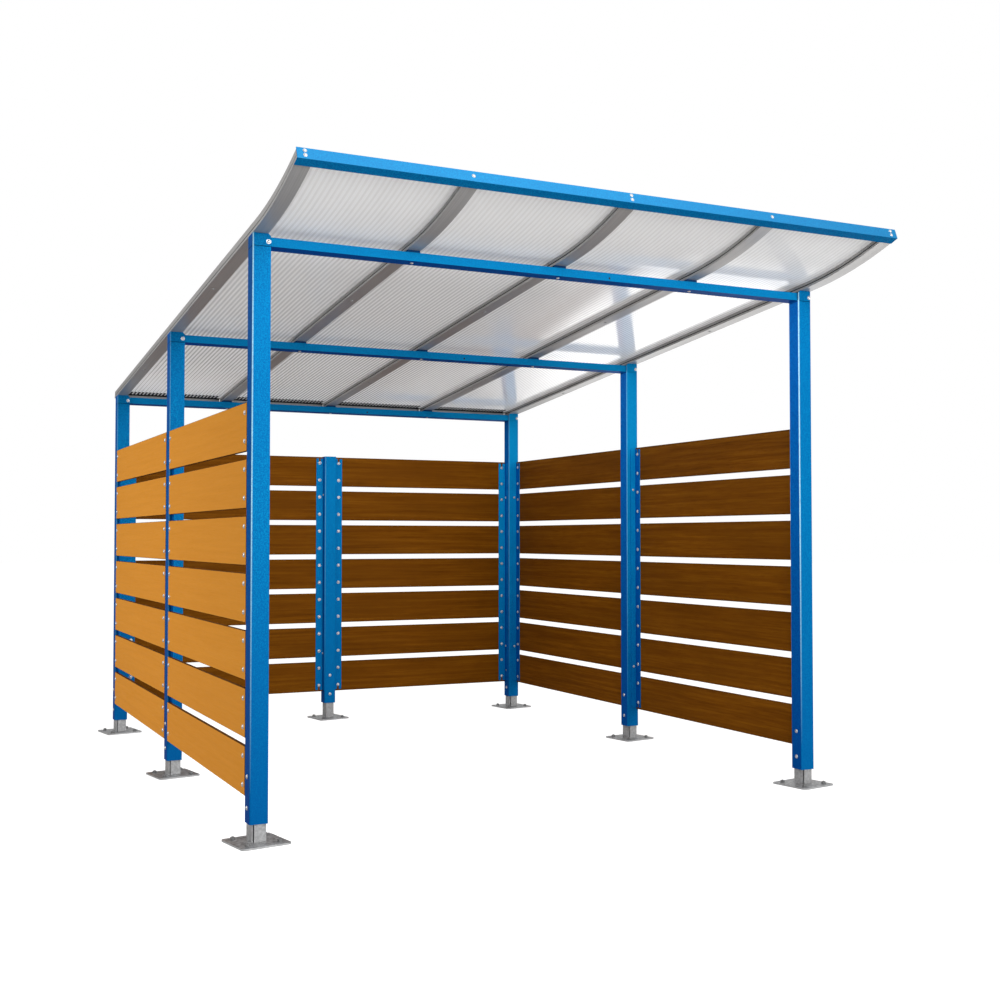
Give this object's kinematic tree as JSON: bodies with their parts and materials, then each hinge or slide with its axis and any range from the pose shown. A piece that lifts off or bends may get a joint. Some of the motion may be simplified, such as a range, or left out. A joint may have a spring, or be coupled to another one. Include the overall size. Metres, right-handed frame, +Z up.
{
  "type": "bin shelter",
  "caption": "Open-fronted bin shelter with a sloping fluted roof on steel posts and horizontal boards on its side and back walls.",
  "frame": {"origin": "on the ground, under the middle of the whole object", "axes": "+X to the right along the cross beams, +Y from the open front to the back wall, +Z up"},
  "size_m": [3.116, 4.1968, 2.7369],
  "materials": {
    "blue_paint": "fine-textured sky blue powder coat",
    "galvanised_steel": "hot-dip galvanised, speckled",
    "aluminium": "mill finish, satin",
    "roof_sheet": "translucent light grey, finely fluted",
    "wood": "golden brown wood grain, satin",
    "rubber": "black, matt"
  },
  "bodies": {
    "root": {"post_front_left": "blue_paint", "post_front_right": "blue_paint", "post_middle_left": "blue_paint", "post_middle_right": "blue_paint", "post_back_left": "blue_paint", "post_back_right": "blue_paint", "post_back_short": "blue_paint", "foot_front_left": "galvanised_steel", "foot_front_right": "galvanised_steel", "foot_middle_left": "galvanised_steel", "foot_middle_right": "galvanised_steel", "foot_back_left": "galvanised_steel", "foot_back_right": "galvanised_steel", "foot_back_short": "galvanised_steel", "heads_front": "blue_paint", "heads_middle": "blue_paint", "heads_back": "blue_paint", "beam_front": "blue_paint", "beam_middle": "blue_paint", "beam_back": "blue_paint", "rib_pads": "rubber", "rib_1": "aluminium", "rib_2": "aluminium", "rib_3": "aluminium", "rib_4": "aluminium", "rib_5": "aluminium", "rib_covers": "aluminium", "sheet_1": "roof_sheet", "sheet_2": "roof_sheet", "sheet_3": "roof_sheet", "sheet_4": "roof_sheet", "rear_strips": "aluminium", "front_fascia": "blue_paint", "boards_left_front": "wood", "boards_left_rear": "wood", "boards_right_front": "wood", "boards_right_rear": "wood", "boards_back_left": "wood", "boards_back_right": "wood", "angles_left_front": "blue_paint", "angles_left_rear": "blue_paint", "angles_right_front": "blue_paint", "angles_right_rear": "blue_paint", "angles_back_left": "blue_paint", "angles_back_right": "blue_paint"}
  },
  "joints": []
}
